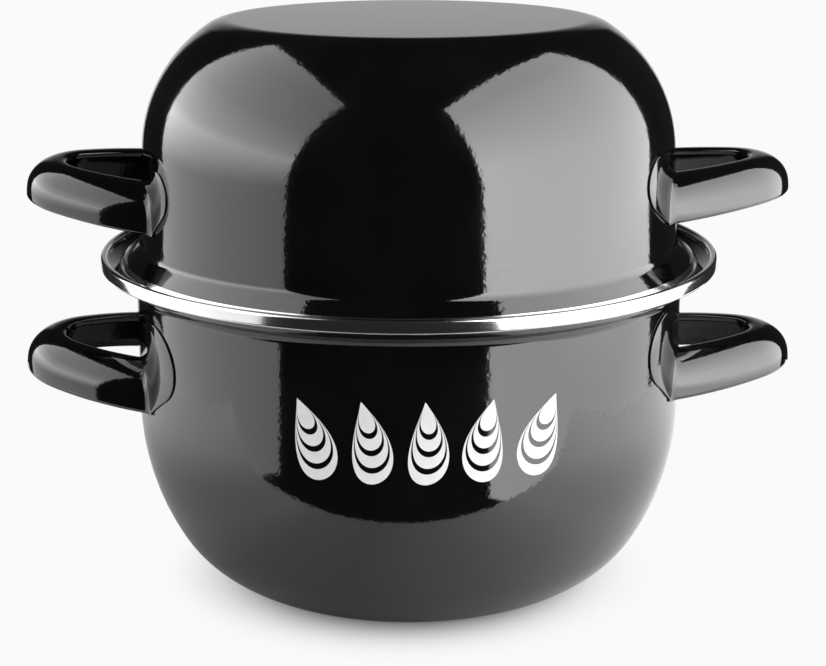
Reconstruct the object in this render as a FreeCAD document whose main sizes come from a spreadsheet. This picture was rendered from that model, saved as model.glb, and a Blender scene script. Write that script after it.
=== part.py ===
import FreeCAD, Part
import math
import os

import Sketcher

# Mussel pot: an enamelled steel pot with a flared mouth, and a deep lid that serves as a shell bowl when
# it is turned over. Each shell has a folded stainless band round its edge and two pressed loop handles.
# Millimetres, +Z up. The origin is the middle of the flat base, and the handles lie along X.

doc = FreeCAD.newDocument("mussel_pot")
sizes = doc.addObject("Spreadsheet::Sheet", "Sizes")

SIZES = (
    ("pot_sheet", 1.5, "steel and enamel of the pot's wall"),
    ("wall_radius", 102, "outside of the upright wall"),
    ("heel_radius", 45, "bend from the base into the belly"),
    ("belly_radius", 95, "bend from the heel into the upright wall"),
    ("belly_spread", 7, "how far the belly leads the wall out past a plain round heel"),
    ("wall_height", 43.34, "straight part of the upright wall"),
    ("neck_radius", 5, "bend from the wall into the flared mouth"),
    ("flare_angle", 30, "degrees of the flare above level"),
    ("flare_reach", 11.6, "how far the flare's edge stands out past the wall"),
    ("lid_sheet", 1.5, "steel and enamel of the lid's wall"),
    ("lid_rim_inset", 6.6, "how far the lid's edge lies inside the edge of the pot's flare"),
    ("lid_flare_reach", 8.5, "how far the lid's edge stands out past the top of its skirt"),
    ("lid_crown_inset", 33, "how far the edge of the flat top lies inside the skirt"),
    ("lid_shoulder_radius", 15.3, "bend from the flat top into the dome"),
    ("lid_dome_radius", 55, "bend from the shoulder into the skirt"),
    ("lid_draft", 2.3, "degrees that the skirt widens towards the mouth"),
    ("lid_neck_radius", 4, "bend from the skirt into the lid's flare"),
    ("lid_flare_angle", 44, "degrees of the lid's flare from level"),
    ("lid_depth", 88.6, "from the lid's flat top to the outside edge of its flare"),
    ("lid_seat_gap", 0.3, "clearance between the lid's band and the pot's flare"),
    ("band_sheet", 0.7, "stainless strip of both bands"),
    ("band_gap", 0.05, "clearance between a band and the sheet that it grips"),
    ("rim_lip", 6.6, "strip under the pot's flare, measured to the corner"),
    ("rim_reach", 1.2, "how far the rim band stands out past the flare's edge"),
    ("rim_face", 4.4, "height of the rim band's outer face"),
    ("rim_fold", 0.3, "inside bend at each side of the rim band's top"),
    ("rim_top", 0.6, "flat top between the rim band's two bends"),
    ("rim_corner", 0.3, "inside bend between the lip and the face of the rim band"),
    ("bead_lip", 2.4, "strip on the lid's flare, measured to the corner"),
    ("bead_reach", 0.8, "how far the lid's band stands out past its flare's edge"),
    ("bead_corner", 0.15, "inside bend between the lip and the face of the lid's band"),
    ("bead_fold", 0.3, "inside bend round the edge of the lid's band"),
    ("bead_inner_lip", 5.0, "strip on the inside of the lid's flare"),
    ("pot_handle_drop", 39.3, "middle of the pot's handles below the edge of its flare"),
    ("lid_handle_rise", 25.6, "middle of the lid's handles above the edge of its flare"),
    ("handle_sheet", 1.2, "steel and enamel of a handle"),
    ("handle_tilt", 5, "degrees that a handle rises away from the wall"),
    ("handle_reach", 42.5, "from the wall to the tip of a handle"),
    ("handle_half_width", 38, "half the width of a handle where it meets the wall"),
    ("handle_tip_radius", 29, "outside bend of a handle at its tip"),
    ("handle_rise", 8.4, "top of a handle above its middle"),
    ("handle_drop", 11, "upright part of the channel's inner side"),
    ("handle_inner_bend", 2.4, "bend from the inner side to the top"),
    ("handle_top", 1.8, "flat part of the channel's top"),
    ("handle_outer_bend", 9, "bend from the top to the outer side"),
    ("handle_face_radius", 30, "crown of the channel's outer side"),
    ("handle_face_turn", 11, "degrees that the outer side is crowned over"),
    ("handle_lip_bend", 3, "bend of the channel's lower lip"),
    ("handle_lip_turn", 60, "degrees that the lower lip turns in"),
    ("pot_tab_radius", 14, "round end of a tall tab, welded to the pot"),
    ("pot_tab_out", 5.8, "centre of the tall tab's end past the side of the handle"),
    ("pot_tab_up", 16.5, "centre of the tall tab's end above the handle's middle"),
    ("pot_tab_root", 12, "how far the tall tab runs in behind the leg"),
    ("pot_tab_head", 20, "upper corner of the tall tab above the handle's middle"),
    ("lid_tab_radius", 10.5, "round end of a short tab, welded to the lid"),
    ("lid_tab_out", 8.6, "centre of the short tab's end past the side of the handle"),
    ("lid_tab_up", 8.2, "centre of the short tab's end above the handle's middle"),
    ("lid_tab_root", 6, "how far the short tab runs in behind the leg"),
    ("lid_tab_head", 9, "upper corner of the short tab above the handle's middle"),
    ("tab_foot", 9, "lower edge of every tab below the handle's middle"),
    ("leg_stub", 8, "how far a leg is drawn into the wall before it is trimmed"),
    ("trim_span", 60, "half the height over which a handle is trimmed to the wall"),
    ("weld_gap", 0.15, "clearance between a handle and the wall that it is welded to"),
)

for row, (alias, value, note) in enumerate(SIZES, start=1):
    sizes.set("A%d" % row, note)
    sizes.set("B%d" % row, str(value))
    sizes.setAlias("B%d" % row, alias)
doc.recompute()


def number(expression):
    """Value of an expression on the sheet, in millimetres or degrees."""
    result = sizes.evalExpression(expression)
    return float(getattr(result, "Value", result))


def origin_plane(body, role):
    """One of the body's own origin planes."""
    return [feature for feature in body.Origin.OriginFeatures if feature.Role == role][0]


def new_sketch(body, name, role):
    """Empty sketch on one of the body's origin planes."""
    sketch = body.newObject("Sketcher::SketchObject", name)
    sketch.AttachmentSupport = (origin_plane(body, role), [""])
    sketch.MapMode = "FlatFace"
    return sketch


def drive(sketch, constraint, name, expression):
    """Add a named dimension and bind it to the sheet."""
    index = sketch.addConstraint(constraint)
    sketch.renameConstraint(index, name)
    sketch.setExpression("Constraints." + name, expression)


def place_point(sketch, geometry, point, name, across, up):
    """Fix a point by its distances from the sketch's origin, which may be negative."""
    for kind, axis, expression in (("DistanceX", "across", across), ("DistanceY", "up", up)):
        value = number(expression)
        if value < 0:
            rule = Sketcher.Constraint(kind, geometry, point, -1, 1, -value)
            drive(sketch, rule, name + "_" + axis, "-(" + expression + ")")
        else:
            rule = Sketcher.Constraint(kind, -1, 1, geometry, point, value)
            drive(sketch, rule, name + "_" + axis, expression)


def vector(across, up):
    return FreeCAD.Vector(across, up, 0)


def draw_skin(sketch, start, heading, runs, inset):
    """Chain of tangent lines and bends. Each run is (name, length) or (name, radius, turn), with the
    turn positive to the left. Returns (geometry, first point, last point) for each run."""
    across, up = start
    across -= inset * math.sin(heading)
    up += inset * math.cos(heading)
    skin = []
    for run in runs:
        if len(run) == 2:
            length = number(run[1])
            end = (across + length * math.cos(heading), up + length * math.sin(heading))
            line = Part.LineSegment(vector(across, up), vector(*end))
            skin.append((sketch.addGeometry(line), 1, 2))
            across, up = end
            continue
        turn = math.radians(number(run[2]))
        side = math.copysign(1, turn)
        radius = number(run[1]) - side * inset
        centre = (across - side * radius * math.sin(heading), up + side * radius * math.cos(heading))
        first = heading - side * math.pi / 2
        last = first + turn
        circle = Part.Circle(vector(*centre), FreeCAD.Vector(0, 0, 1), radius)
        arc = Part.ArcOfCircle(circle, min(first, last), max(first, last))
        ends = (1, 2) if side > 0 else (2, 1)
        skin.append((sketch.addGeometry(arc), ends[0], ends[1]))
        across = centre[0] + radius * math.cos(last)
        up = centre[1] + radius * math.sin(last)
        heading += turn
    for before, after in zip(skin, skin[1:]):
        sketch.addConstraint(Sketcher.Constraint("Tangent", before[0], before[2], after[0], after[1]))
    return skin


def close_end(sketch, outer, inner, end, run):
    """Square edge of the sheet between the two skins, at the start (1) or the end (2) of the chain."""
    points = []
    for geometry, first, last in (outer, inner):
        points.append((geometry, first if end == 1 else last))
    corners = [sketch.getPoint(geometry, point) for geometry, point in points]
    edge = sketch.addGeometry(Part.LineSegment(corners[0], corners[1]))
    for own_point, (geometry, point) in zip((1, 2), points):
        sketch.addConstraint(Sketcher.Constraint("Coincident", edge, own_point, geometry, point))
    if len(run) == 2:
        sketch.addConstraint(Sketcher.Constraint("Perpendicular", edge, outer[0]))
    else:
        sketch.addConstraint(Sketcher.Constraint("PointOnObject", outer[0], 3, edge))
    return edge


def draw_bent_sheet(sketch, start, heading, runs, thickness):
    """Section of a bent sheet: one skin follows the runs, the other lies one thickness to its left."""
    across, up = start
    place = (number(across), number(up))
    angle = math.radians(heading)
    outer = draw_skin(sketch, place, angle, runs, 0)
    inner = draw_skin(sketch, place, angle, runs, number(thickness))
    place_point(sketch, outer[0][0], outer[0][1], "start", across, up)
    if heading in (0, 180):
        sketch.addConstraint(Sketcher.Constraint("Horizontal", outer[0][0]))
    elif heading == 90:
        sketch.addConstraint(Sketcher.Constraint("Vertical", outer[0][0]))
    for run, (geometry, first, last), (twin, twin_first, twin_last) in zip(runs, outer, inner):
        if len(run) == 2:
            rule = Sketcher.Constraint("Distance", geometry, number(run[1]))
            drive(sketch, rule, run[0], run[1])
            sketch.addConstraint(Sketcher.Constraint("Parallel", geometry, twin))
        else:
            rule = Sketcher.Constraint("Radius", geometry, number(run[1]))
            drive(sketch, rule, run[0], run[1])
            turn = "abs(" + run[2] + ")"
            rule = Sketcher.Constraint("Angle", geometry, math.radians(number(turn)))
            drive(sketch, rule, run[0] + "_turn", turn)
            sketch.addConstraint(Sketcher.Constraint("Coincident", geometry, 3, twin, 3))
    edge = close_end(sketch, outer[0], inner[0], 1, runs[0])
    size = "abs(" + thickness + ")"
    drive(sketch, Sketcher.Constraint("Distance", edge, number(size)), "thickness", size)
    close_end(sketch, outer[-1], inner[-1], 2, runs[-1])
    return outer


def turn_round(body, name, sketch, kind):
    """Revolution or groove of a sketch, once round the Z axis."""
    feature = body.newObject("PartDesign::" + kind, name)
    feature.Profile = sketch
    feature.ReferenceAxis = (sketch, ["V_Axis"])
    feature.Angle = 360
    sketch.Visibility = False
    return feature


def new_body(label):
    body = doc.addObject("PartDesign::Body", label)
    body.Label = label
    return body


# Pot: one deep-drawn shell, from the flat base through the heel, belly and wall to the flared mouth
FLARE = "Sizes.flare_angle * 1 deg"
BASE_RADIUS = "Sizes.wall_radius - Sizes.heel_radius - Sizes.belly_spread"
POT_HEEL_TURN = "asin(1 - Sizes.belly_spread / (Sizes.belly_radius - Sizes.heel_radius))"
POT_BELLY_TURN = "90 deg - " + POT_HEEL_TURN
POT_FLARE_LENGTH = (
    "(Sizes.flare_reach - Sizes.neck_radius * (1 - sin(" + FLARE + "))) / cos(" + FLARE + ")"
)
POT_WALL_TOP = (
    "(Sizes.heel_radius * (1 - cos(" + POT_HEEL_TURN + "))"
    " + Sizes.belly_radius * cos(" + POT_HEEL_TURN + ") + Sizes.wall_height)"
)
POT_MOUTH_RADIUS = "(Sizes.wall_radius + Sizes.flare_reach)"
POT_MOUTH_HEIGHT = (
    "(" + POT_WALL_TOP + " + Sizes.neck_radius * cos(" + FLARE + ")"
    " + " + POT_FLARE_LENGTH + " * sin(" + FLARE + "))"
)
pot_body = new_body("pot_body")
pot_section = new_sketch(pot_body, "pot_section", "XZ_Plane")
draw_bent_sheet(
    pot_section,
    ("0", "0"),
    0,
    (
        ("base", BASE_RADIUS),
        ("heel", "Sizes.heel_radius", POT_HEEL_TURN),
        ("belly", "Sizes.belly_radius", POT_BELLY_TURN),
        ("wall", "Sizes.wall_height"),
        ("neck", "Sizes.neck_radius", FLARE + " - 90 deg"),
        ("flare", POT_FLARE_LENGTH),
    ),
    "Sizes.pot_sheet",
)
turn_round(pot_body, "pot_shell", pot_section, "Revolution")

# Lid: the same kind of shell, drawn as the bowl that it is when turned over, and then turned mouth down
DRAFT = "Sizes.lid_draft * 1 deg"
LID_FLARE = "Sizes.lid_flare_angle * 1 deg"
LID_MOUTH_RADIUS = "(" + POT_MOUTH_RADIUS + " - Sizes.lid_rim_inset)"
LID_WALL_RADIUS = "(" + LID_MOUTH_RADIUS + " - Sizes.lid_flare_reach)"
LID_SHOULDER_TURN = (
    "asin((Sizes.lid_dome_radius * cos(" + DRAFT + ") - Sizes.lid_crown_inset)"
    " / (Sizes.lid_dome_radius - Sizes.lid_shoulder_radius))"
)
LID_DOME_TURN = "90 deg - " + DRAFT + " - " + LID_SHOULDER_TURN
LID_DOME_DEPTH = (
    "(Sizes.lid_shoulder_radius * (1 - cos(" + LID_SHOULDER_TURN + "))"
    " + Sizes.lid_dome_radius * (cos(" + LID_SHOULDER_TURN + ") - sin(" + DRAFT + ")))"
)
LID_NECK_TURN = LID_FLARE + " + " + DRAFT + " - 90 deg"
LID_NECK_ACROSS = "Sizes.lid_neck_radius * (cos(" + DRAFT + ") - sin(" + LID_FLARE + "))"
LID_NECK_UP = "Sizes.lid_neck_radius * (cos(" + LID_FLARE + ") - sin(" + DRAFT + "))"
LID_ACROSS = "(Sizes.lid_flare_reach - " + LID_NECK_ACROSS + ")"
LID_UP = "(Sizes.lid_depth - " + LID_DOME_DEPTH + " - " + LID_NECK_UP + ")"
LID_SPREAD = "cos(" + LID_FLARE + " + " + DRAFT + ")"
LID_FLARE_LENGTH = (
    "(" + LID_ACROSS + " * cos(" + DRAFT + ") - " + LID_UP + " * sin(" + DRAFT + ")) / " + LID_SPREAD
)
LID_WALL_LENGTH = (
    "(" + LID_UP + " * cos(" + LID_FLARE + ") - " + LID_ACROSS + " * sin(" + LID_FLARE + ")) / "
    + LID_SPREAD
)
lid_body = new_body("lid_body")
lid_section = new_sketch(lid_body, "lid_section", "XZ_Plane")
draw_bent_sheet(
    lid_section,
    ("0", "0"),
    0,
    (
        ("flat", LID_WALL_RADIUS + " - Sizes.lid_crown_inset"),
        ("shoulder", "Sizes.lid_shoulder_radius", LID_SHOULDER_TURN),
        ("dome", "Sizes.lid_dome_radius", LID_DOME_TURN),
        ("skirt", LID_WALL_LENGTH),
        ("neck", "Sizes.lid_neck_radius", LID_NECK_TURN),
        ("flare", LID_FLARE_LENGTH),
    ),
    "Sizes.lid_sheet",
)
turn_round(lid_body, "lid_shell", lid_section, "Revolution")


COVER = "(Sizes.band_sheet + Sizes.band_gap)"


def draw_band(sketch, prefix, flare_angle, mouth_radius, mouth_height, closing):
    """Strip folded over the edge of a flare. It starts with the lip under the flare and the corner at the
    foot of the outer face, and closes with the runs given."""
    lip = "Sizes." + prefix + "_lip"
    reach = "Sizes." + prefix + "_reach"
    corner = "(Sizes." + prefix + "_corner + Sizes.band_sheet)"
    draw_bent_sheet(
        sketch,
        (
            mouth_radius + " + " + reach + " - " + lip + " * cos(" + flare_angle + ")",
            corner_height(prefix, flare_angle, mouth_height) + " - " + lip + " * sin(" + flare_angle + ")",
        ),
        number(flare_angle),
        (
            ("lip", lip + " - " + corner_cut(prefix, flare_angle)),
            ("corner", corner, "90 deg - " + flare_angle),
        ) + closing,
        "Sizes.band_sheet",
    )
    slope = Sketcher.Constraint("Angle", 0, math.radians(number(flare_angle)))
    drive(sketch, slope, "slope", flare_angle)


def corner_height(prefix, flare_angle, mouth_height):
    """Height where the outsides of a band's lip and face would meet in a sharp corner."""
    drop = COVER + " / cos(" + flare_angle + ")"
    climb = "Sizes." + prefix + "_reach * tan(" + flare_angle + ")"
    return "(" + mouth_height + " - " + drop + " + " + climb + ")"


def corner_cut(prefix, flare_angle):
    """How much the bend at that corner takes off the lip and off the face."""
    return "(Sizes." + prefix + "_corner + Sizes.band_sheet) * tan((90 deg - " + flare_angle + ") / 2)"


# Rim band: a stainless strip folded over the edge of the pot's flare, with a flat top and an upright
# inner face that stands on the flare
RIM_FOLD = "(Sizes.rim_fold + Sizes.band_sheet)"
RIM_EDGE_HEIGHT = "(" + POT_MOUTH_HEIGHT + " + Sizes.pot_sheet * cos(" + FLARE + ") + Sizes.band_gap)"
RIM_CORNER_HEIGHT = corner_height("rim", FLARE, POT_MOUTH_HEIGHT)
pot_rim_band = new_body("pot_rim_band")
rim_section = new_sketch(pot_rim_band, "rim_section", "XZ_Plane")
draw_band(
    rim_section,
    "rim",
    FLARE,
    POT_MOUTH_RADIUS,
    POT_MOUTH_HEIGHT,
    (
        ("face", "Sizes.rim_face - " + corner_cut("rim", FLARE) + " - " + RIM_FOLD),
        ("outer_fold", RIM_FOLD, "90 deg"),
        ("top", "Sizes.rim_top"),
        ("inner_fold", RIM_FOLD, "90 deg"),
        ("inside", RIM_CORNER_HEIGHT + " + Sizes.rim_face - " + RIM_FOLD + " - " + RIM_EDGE_HEIGHT),
    ),
)
turn_round(pot_rim_band, "rim_ring", rim_section, "Revolution")

# Lid band: the same strip, folded flat on both sides of the lid's flare. Its edge is what the lid rests on.
BEAD_FOLD = "(Sizes.bead_fold + Sizes.band_sheet)"
BEAD_FOLD_CUT = BEAD_FOLD + " * tan((90 deg + " + LID_FLARE + ") / 2)"
BEAD_FACE = "(Sizes.lid_sheet + 2 * " + COVER + ") / cos(" + LID_FLARE + ")"
lid_rim_band = new_body("lid_rim_band")
bead_section = new_sketch(lid_rim_band, "bead_section", "XZ_Plane")
draw_band(
    bead_section,
    "bead",
    LID_FLARE,
    LID_MOUTH_RADIUS,
    "Sizes.lid_depth",
    (
        ("face", BEAD_FACE + " - " + corner_cut("bead", LID_FLARE) + " - " + BEAD_FOLD_CUT),
        ("fold", BEAD_FOLD, "90 deg + " + LID_FLARE),
        ("inner_lip", "Sizes.bead_inner_lip"),
    ),
)
turn_round(lid_rim_band, "bead_ring", bead_section, "Revolution")

# The lid goes on with its band's round edge on the slope of the pot's flare
BEAD_CENTRE_DEPTH = (
    "(" + corner_height("bead", LID_FLARE, "Sizes.lid_depth") + " + " + BEAD_FACE
    + " - " + BEAD_FOLD_CUT + ")"
)
BEAD_CENTRE_RADIUS = "(" + LID_MOUTH_RADIUS + " + Sizes.bead_reach - " + BEAD_FOLD + ")"
FLARE_TOP_AT_BEAD = (
    "(" + POT_MOUTH_HEIGHT + " + Sizes.pot_sheet / cos(" + FLARE + ")"
    " - (" + POT_MOUTH_RADIUS + " - " + BEAD_CENTRE_RADIUS + ") * tan(" + FLARE + "))"
)
LID_TOP = (
    FLARE_TOP_AT_BEAD + " + (" + BEAD_FOLD + " + Sizes.lid_seat_gap) / cos(" + FLARE + ")"
    " + " + BEAD_CENTRE_DEPTH
)
UPSIDE_DOWN = FreeCAD.Rotation(FreeCAD.Vector(1, 0, 0), 180)
for body in (lid_body, lid_rim_band):
    body.Placement = FreeCAD.Placement(FreeCAD.Vector(0, 0, number(LID_TOP)), UPSIDE_DOWN)
    body.setExpression("Placement.Base.z", LID_TOP)


# Handles: one pressing for all four. A channel, open below, is bent into a loop, and its ends run out
# into round tabs that are rolled to the wall and welded on.
CROWN_TURN = "(90 deg - Sizes.handle_face_turn * 1 deg / 2)"
CHANNEL_WIDTH = (
    "(Sizes.handle_inner_bend + Sizes.handle_top + Sizes.handle_outer_bend * sin(" + CROWN_TURN + ")"
    " + Sizes.handle_face_radius * (1 - cos(Sizes.handle_face_turn * 1 deg / 2)))"
)


def tangent_point(corner, centre, radius, side):
    """Where the line from a corner touches a circle, on the right (1) or left (-1) as seen from it."""
    across = centre[0] - corner[0]
    up = centre[1] - corner[1]
    apart = math.hypot(across, up)
    angle = math.atan2(up, across) - side * math.asin(radius / apart)
    length = math.sqrt(apart ** 2 - radius ** 2)
    return (corner[0] + length * math.cos(angle), corner[1] + length * math.sin(angle))


def draw_tab(sketch, side, kind, middle):
    """Outline of one tab, seen along the handle: a foot behind the leg and a round end beyond it."""
    tab = "Sizes." + kind + "_tab_"
    hand = "left" if side < 0 else "right"
    sign = "-" if side < 0 else ""
    root = sign + "(Sizes.handle_half_width - " + tab + "root)"
    crease = sign + "Sizes.handle_half_width"
    end_across = sign + "(Sizes.handle_half_width + " + tab + "out)"
    foot = middle + " - Sizes.tab_foot"
    head = middle + " + " + tab + "head"
    end_up = middle + " + " + tab + "up"
    radius = number(tab + "radius")
    centre = (number(end_across), number(end_up))
    inner_foot = (number(root), number(foot))
    outer_foot = (number(crease), number(foot))
    inner_head = (number(root), number(head))
    low = tangent_point(outer_foot, centre, radius, side)
    high = tangent_point(inner_head, centre, radius, -side)
    low_angle = math.atan2(low[1] - centre[1], low[0] - centre[0])
    high_angle = math.atan2(high[1] - centre[1], high[0] - centre[0])
    first, last = (low_angle, high_angle) if side > 0 else (high_angle, low_angle)
    if last < first:
        last += 2 * math.pi
    circle = Part.Circle(vector(*centre), FreeCAD.Vector(0, 0, 1), radius)
    end = sketch.addGeometry(Part.ArcOfCircle(circle, first, last))
    low_point, high_point = (1, 2) if side > 0 else (2, 1)
    back = sketch.addGeometry(Part.LineSegment(vector(*inner_head), vector(*inner_foot)))
    bottom = sketch.addGeometry(Part.LineSegment(vector(*inner_foot), vector(*outer_foot)))
    lower = sketch.addGeometry(Part.LineSegment(vector(*outer_foot), vector(*low)))
    upper = sketch.addGeometry(Part.LineSegment(vector(*high), vector(*inner_head)))
    sketch.addConstraint(Sketcher.Constraint("Coincident", back, 2, bottom, 1))
    sketch.addConstraint(Sketcher.Constraint("Coincident", bottom, 2, lower, 1))
    sketch.addConstraint(Sketcher.Constraint("Tangent", lower, 2, end, low_point))
    sketch.addConstraint(Sketcher.Constraint("Tangent", end, high_point, upper, 1))
    sketch.addConstraint(Sketcher.Constraint("Coincident", upper, 2, back, 1))
    sketch.addConstraint(Sketcher.Constraint("Vertical", back))
    sketch.addConstraint(Sketcher.Constraint("Horizontal", bottom))
    drive(sketch, Sketcher.Constraint("Radius", end, radius), hand + "_end", tab + "radius")
    place_point(sketch, end, 3, hand + "_centre", end_across, end_up)
    place_point(sketch, back, 1, hand + "_head", root, head)
    place_point(sketch, bottom, 2, hand + "_foot", crease, foot)


def draw_wall_side(sketch, name, radius, draft, middle, offset, outside):
    """Region on one side of the wall's line, for trimming a handle to the wall that it sits on."""
    rise = "Sizes.trim_span * tan(" + draft + ")"
    low_across = radius + " + " + offset + " + " + rise
    high_across = radius + " + " + offset + " - " + rise
    low_up = middle + " - Sizes.trim_span"
    high_up = middle + " + Sizes.trim_span"
    clear = radius + " + 2 * Sizes.handle_reach"
    far = number(clear) if outside else 0
    low = (number(low_across), number(low_up))
    high = (number(high_across), number(high_up))
    corners = [low, high, (far, high[1]), (far, low[1])]
    lines = []
    for start, end in zip(corners, corners[1:] + corners[:1]):
        lines.append(sketch.addGeometry(Part.LineSegment(vector(*start), vector(*end))))
    for before, after in zip(lines, lines[1:] + lines[:1]):
        sketch.addConstraint(Sketcher.Constraint("Coincident", before, 2, after, 1))
    wall, top, back, bottom = lines
    sketch.addConstraint(Sketcher.Constraint("Horizontal", top))
    sketch.addConstraint(Sketcher.Constraint("Horizontal", bottom))
    sketch.addConstraint(Sketcher.Constraint("Vertical", back))
    place_point(sketch, wall, 1, name + "_low", low_across, low_up)
    place_point(sketch, wall, 2, name + "_high", high_across, high_up)
    if outside:
        drive(sketch, Sketcher.Constraint("DistanceX", -1, 1, back, 1, far), name + "_far", clear)
    else:
        sketch.addConstraint(Sketcher.Constraint("PointOnObject", back, 1, -2))


def make_handle(kind, hand, radius, draft, middle, turn):
    """One handle on a wall of this radius and draft, with its middle at this height."""
    label = kind + "_handle_" + hand
    body = new_body(label)
    chord = "sqrt((" + radius + ") ^ 2 - Sizes.handle_half_width ^ 2)"

    tabs = new_sketch(body, label + "_tabs", "YZ_Plane")
    draw_tab(tabs, 1, kind, middle)
    draw_tab(tabs, -1, kind, middle)
    blank = body.newObject("PartDesign::Pad", label + "_blank")
    blank.Profile = tabs
    blank.setExpression("Length", radius + " + Sizes.handle_reach")
    tabs.Visibility = False

    outer_trim = new_sketch(body, label + "_outer_trim", "XZ_Plane")
    draw_wall_side(outer_trim, "face", radius, draft, middle, "Sizes.weld_gap + Sizes.handle_sheet", True)
    turn_round(body, label + "_tab_face", outer_trim, "Groove")

    section = new_sketch(body, label + "_section", "XZ_Plane")
    section.AttachmentOffset = FreeCAD.Placement(
        FreeCAD.Vector(number(radius), number(middle), 0),
        FreeCAD.Rotation(FreeCAD.Vector(0, 0, 1), number("Sizes.handle_tilt")),
    )
    section.setExpression("AttachmentOffset.Base.x", radius)
    section.setExpression("AttachmentOffset.Base.y", middle)
    section.setExpression("AttachmentOffset.Rotation.Angle", "Sizes.handle_tilt * 1 deg")
    draw_bent_sheet(
        section,
        (
            "Sizes.handle_reach - " + CHANNEL_WIDTH,
            "Sizes.handle_rise - Sizes.handle_inner_bend - Sizes.handle_drop",
        ),
        90,
        (
            ("inner_side", "Sizes.handle_drop"),
            ("inner_bend", "Sizes.handle_inner_bend", "-90 deg"),
            ("top", "Sizes.handle_top"),
            ("outer_bend", "Sizes.handle_outer_bend", "-" + CROWN_TURN),
            ("outer_side", "Sizes.handle_face_radius", "-Sizes.handle_face_turn * 1 deg"),
            ("lip", "Sizes.handle_lip_bend", "-Sizes.handle_lip_turn * 1 deg"),
        ),
        "-Sizes.handle_sheet",
    )
    path = new_sketch(body, label + "_path", "XY_Plane")
    path.AttachmentOffset = FreeCAD.Placement(
        FreeCAD.Vector(number(radius), 0, number(middle)),
        FreeCAD.Rotation(FreeCAD.Vector(0, -1, 0), number("Sizes.handle_tilt")),
    )
    path.setExpression("AttachmentOffset.Base.x", radius)
    path.setExpression("AttachmentOffset.Base.z", middle)
    path.setExpression("AttachmentOffset.Rotation.Angle", "Sizes.handle_tilt * 1 deg")
    draw_loop_path(path, radius, chord)

    loop = body.newObject("PartDesign::AdditivePipe", label + "_loop")
    loop.Profile = section
    loop.Spine = (path, ["Edge1", "Edge2", "Edge3"])
    section.Visibility = False
    path.Visibility = False
    doc.recompute()
    mirrored = body.newObject("PartDesign::Mirrored", label + "_other_leg")
    mirrored.Originals = [loop]
    mirrored.MirrorPlane = (origin_plane(body, "XZ_Plane"), [""])
    body.Tip = mirrored
    doc.recompute()

    inner_trim = new_sketch(body, label + "_inner_trim", "XZ_Plane")
    draw_wall_side(inner_trim, "seat", radius, draft, middle, "Sizes.weld_gap", False)
    turn_round(body, label + "_seat", inner_trim, "Groove")
    body.Placement = FreeCAD.Placement(FreeCAD.Vector(0, 0, 0), FreeCAD.Rotation(turn, 0, 0))
    return body


def draw_loop_path(sketch, radius, chord):
    """Half of the loop's outside edge: a tight bend at the tip, a wide bend at the side, a short stub."""
    stub = number("Sizes.leg_stub")
    reach = number("Sizes.handle_reach")
    half = number("Sizes.handle_half_width")
    tip = number("Sizes.handle_tip_radius")
    root = number(chord) - number(radius)
    along = reach - tip - root
    side = (along ** 2 + half ** 2 - tip ** 2) / (2 * (half - tip))
    tip_centre = (reach - tip, 0)
    side_centre = (root, half - side)
    join = math.atan2(tip_centre[1] - side_centre[1], tip_centre[0] - side_centre[0])
    up = FreeCAD.Vector(0, 0, 1)
    tip_arc = sketch.addGeometry(Part.ArcOfCircle(Part.Circle(vector(*tip_centre), up, tip), 0, join))
    side_circle = Part.Circle(vector(*side_centre), up, side)
    side_arc = sketch.addGeometry(Part.ArcOfCircle(side_circle, join, math.pi / 2))
    leg = sketch.addGeometry(Part.LineSegment(vector(root, half), vector(root - stub, half)))
    sketch.addConstraint(Sketcher.Constraint("PointOnObject", tip_arc, 3, -1))
    sketch.addConstraint(Sketcher.Constraint("PointOnObject", tip_arc, 1, -1))
    sketch.addConstraint(Sketcher.Constraint("Tangent", tip_arc, 2, side_arc, 1))
    sketch.addConstraint(Sketcher.Constraint("Tangent", side_arc, 2, leg, 1))
    sketch.addConstraint(Sketcher.Constraint("Horizontal", leg))
    drive(sketch, Sketcher.Constraint("Distance", leg, stub), "stub", "Sizes.leg_stub")
    drive(sketch, Sketcher.Constraint("Radius", tip_arc, tip), "tip", "Sizes.handle_tip_radius")
    reach_rule = Sketcher.Constraint("DistanceX", -1, 1, tip_arc, 1, reach)
    drive(sketch, reach_rule, "reach", "Sizes.handle_reach")
    place_point(sketch, leg, 1, "root", chord + " - (" + radius + ")", "Sizes.handle_half_width")


POT_HANDLE_HEIGHT = "(" + POT_MOUTH_HEIGHT + " - Sizes.pot_handle_drop)"
LID_HANDLE_DEPTH = "(Sizes.lid_depth - Sizes.lid_handle_rise)"
LID_RADIUS_AT_HANDLE = (
    "(" + LID_WALL_RADIUS + " + (" + LID_HANDLE_DEPTH + " - " + LID_DOME_DEPTH + ") * tan(" + DRAFT + "))"
)
for hand, turn in (("right", 0), ("left", 180)):
    make_handle("pot", hand, "Sizes.wall_radius", "0 deg", POT_HANDLE_HEIGHT, turn)
    lid_handle = make_handle("lid", hand, LID_RADIUS_AT_HANDLE, DRAFT, "-" + LID_HANDLE_DEPTH, turn)
    lid_handle.setExpression("Placement.Base.z", LID_TOP)

doc.recompute()

for item in doc.Objects:
    if "Invalid" in item.State or "Error" in item.State:
        raise RuntimeError("%s did not build: %s" % (item.Name, item.State))
bodies = [item for item in doc.Objects if item.TypeId == "PartDesign::Body"]
for body in bodies:
    if body.Shape.isNull() or not body.Shape.isValid():
        raise RuntimeError("%s has no valid shape" % body.Label)

os.makedirs("parts", exist_ok=True)
for body in bodies:
    body.Shape.exportStep(os.path.join("parts", body.Label + ".step"))
    print("%s: %.0f mm3, %d solid" % (body.Label, body.Shape.Volume, len(body.Shape.Solids)))
print("height of the lid's top %.2f" % number(LID_TOP))
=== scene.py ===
import math

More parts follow.
